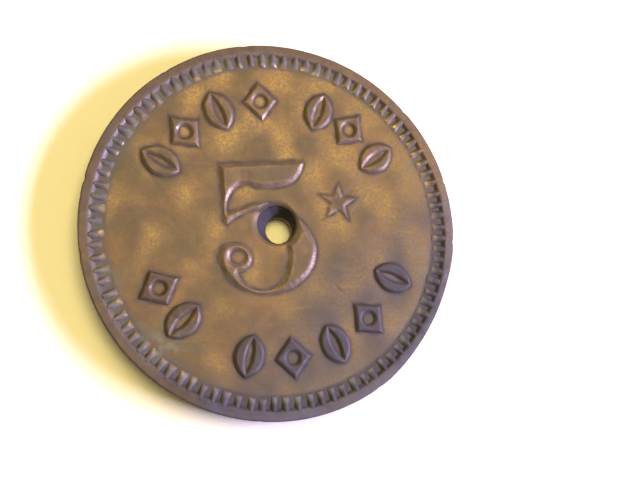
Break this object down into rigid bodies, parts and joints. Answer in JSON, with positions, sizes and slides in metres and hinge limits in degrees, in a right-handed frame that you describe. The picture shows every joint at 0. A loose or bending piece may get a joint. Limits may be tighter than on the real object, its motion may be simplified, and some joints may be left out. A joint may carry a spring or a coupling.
{
  "type": "struck metal value token",
  "caption": "Worn round brass value token with a raised rim, denticle rings, a relief numeral, ornaments and a punched centre hole.",
  "frame": {"origin": "at the middle of the round outline, in the plane of the reverse rim that the token rests on", "axes": "+Z out of the obverse, parallel to the hole's axis, +Y to the top of the numeral, +X to its right"},
  "size_m": [0.021, 0.021, 0.0016],
  "materials": {
    "worn_field": "worn, golden-brown patina",
    "toned_relief": "worn, dark purplish-brown toning on the raised parts"
  },
  "bodies": {
    "root": {"struck_blank": "worn_field", "obverse_rim": "toned_relief", "obverse_denticles": "toned_relief", "value_numeral": "toned_relief", "value_star": "toned_relief", "upper_ornaments_left": "toned_relief", "upper_ornaments_right": "toned_relief", "lower_ornaments_left": "toned_relief", "lower_ornaments_right": "toned_relief", "reverse_rim": "toned_relief", "reverse_denticles": "toned_relief", "reverse_star": "toned_relief", "wreath_left": "toned_relief", "wreath_right": "toned_relief", "wreath_tie": "toned_relief", "hole_burr": "toned_relief"}
  },
  "joints": []
}
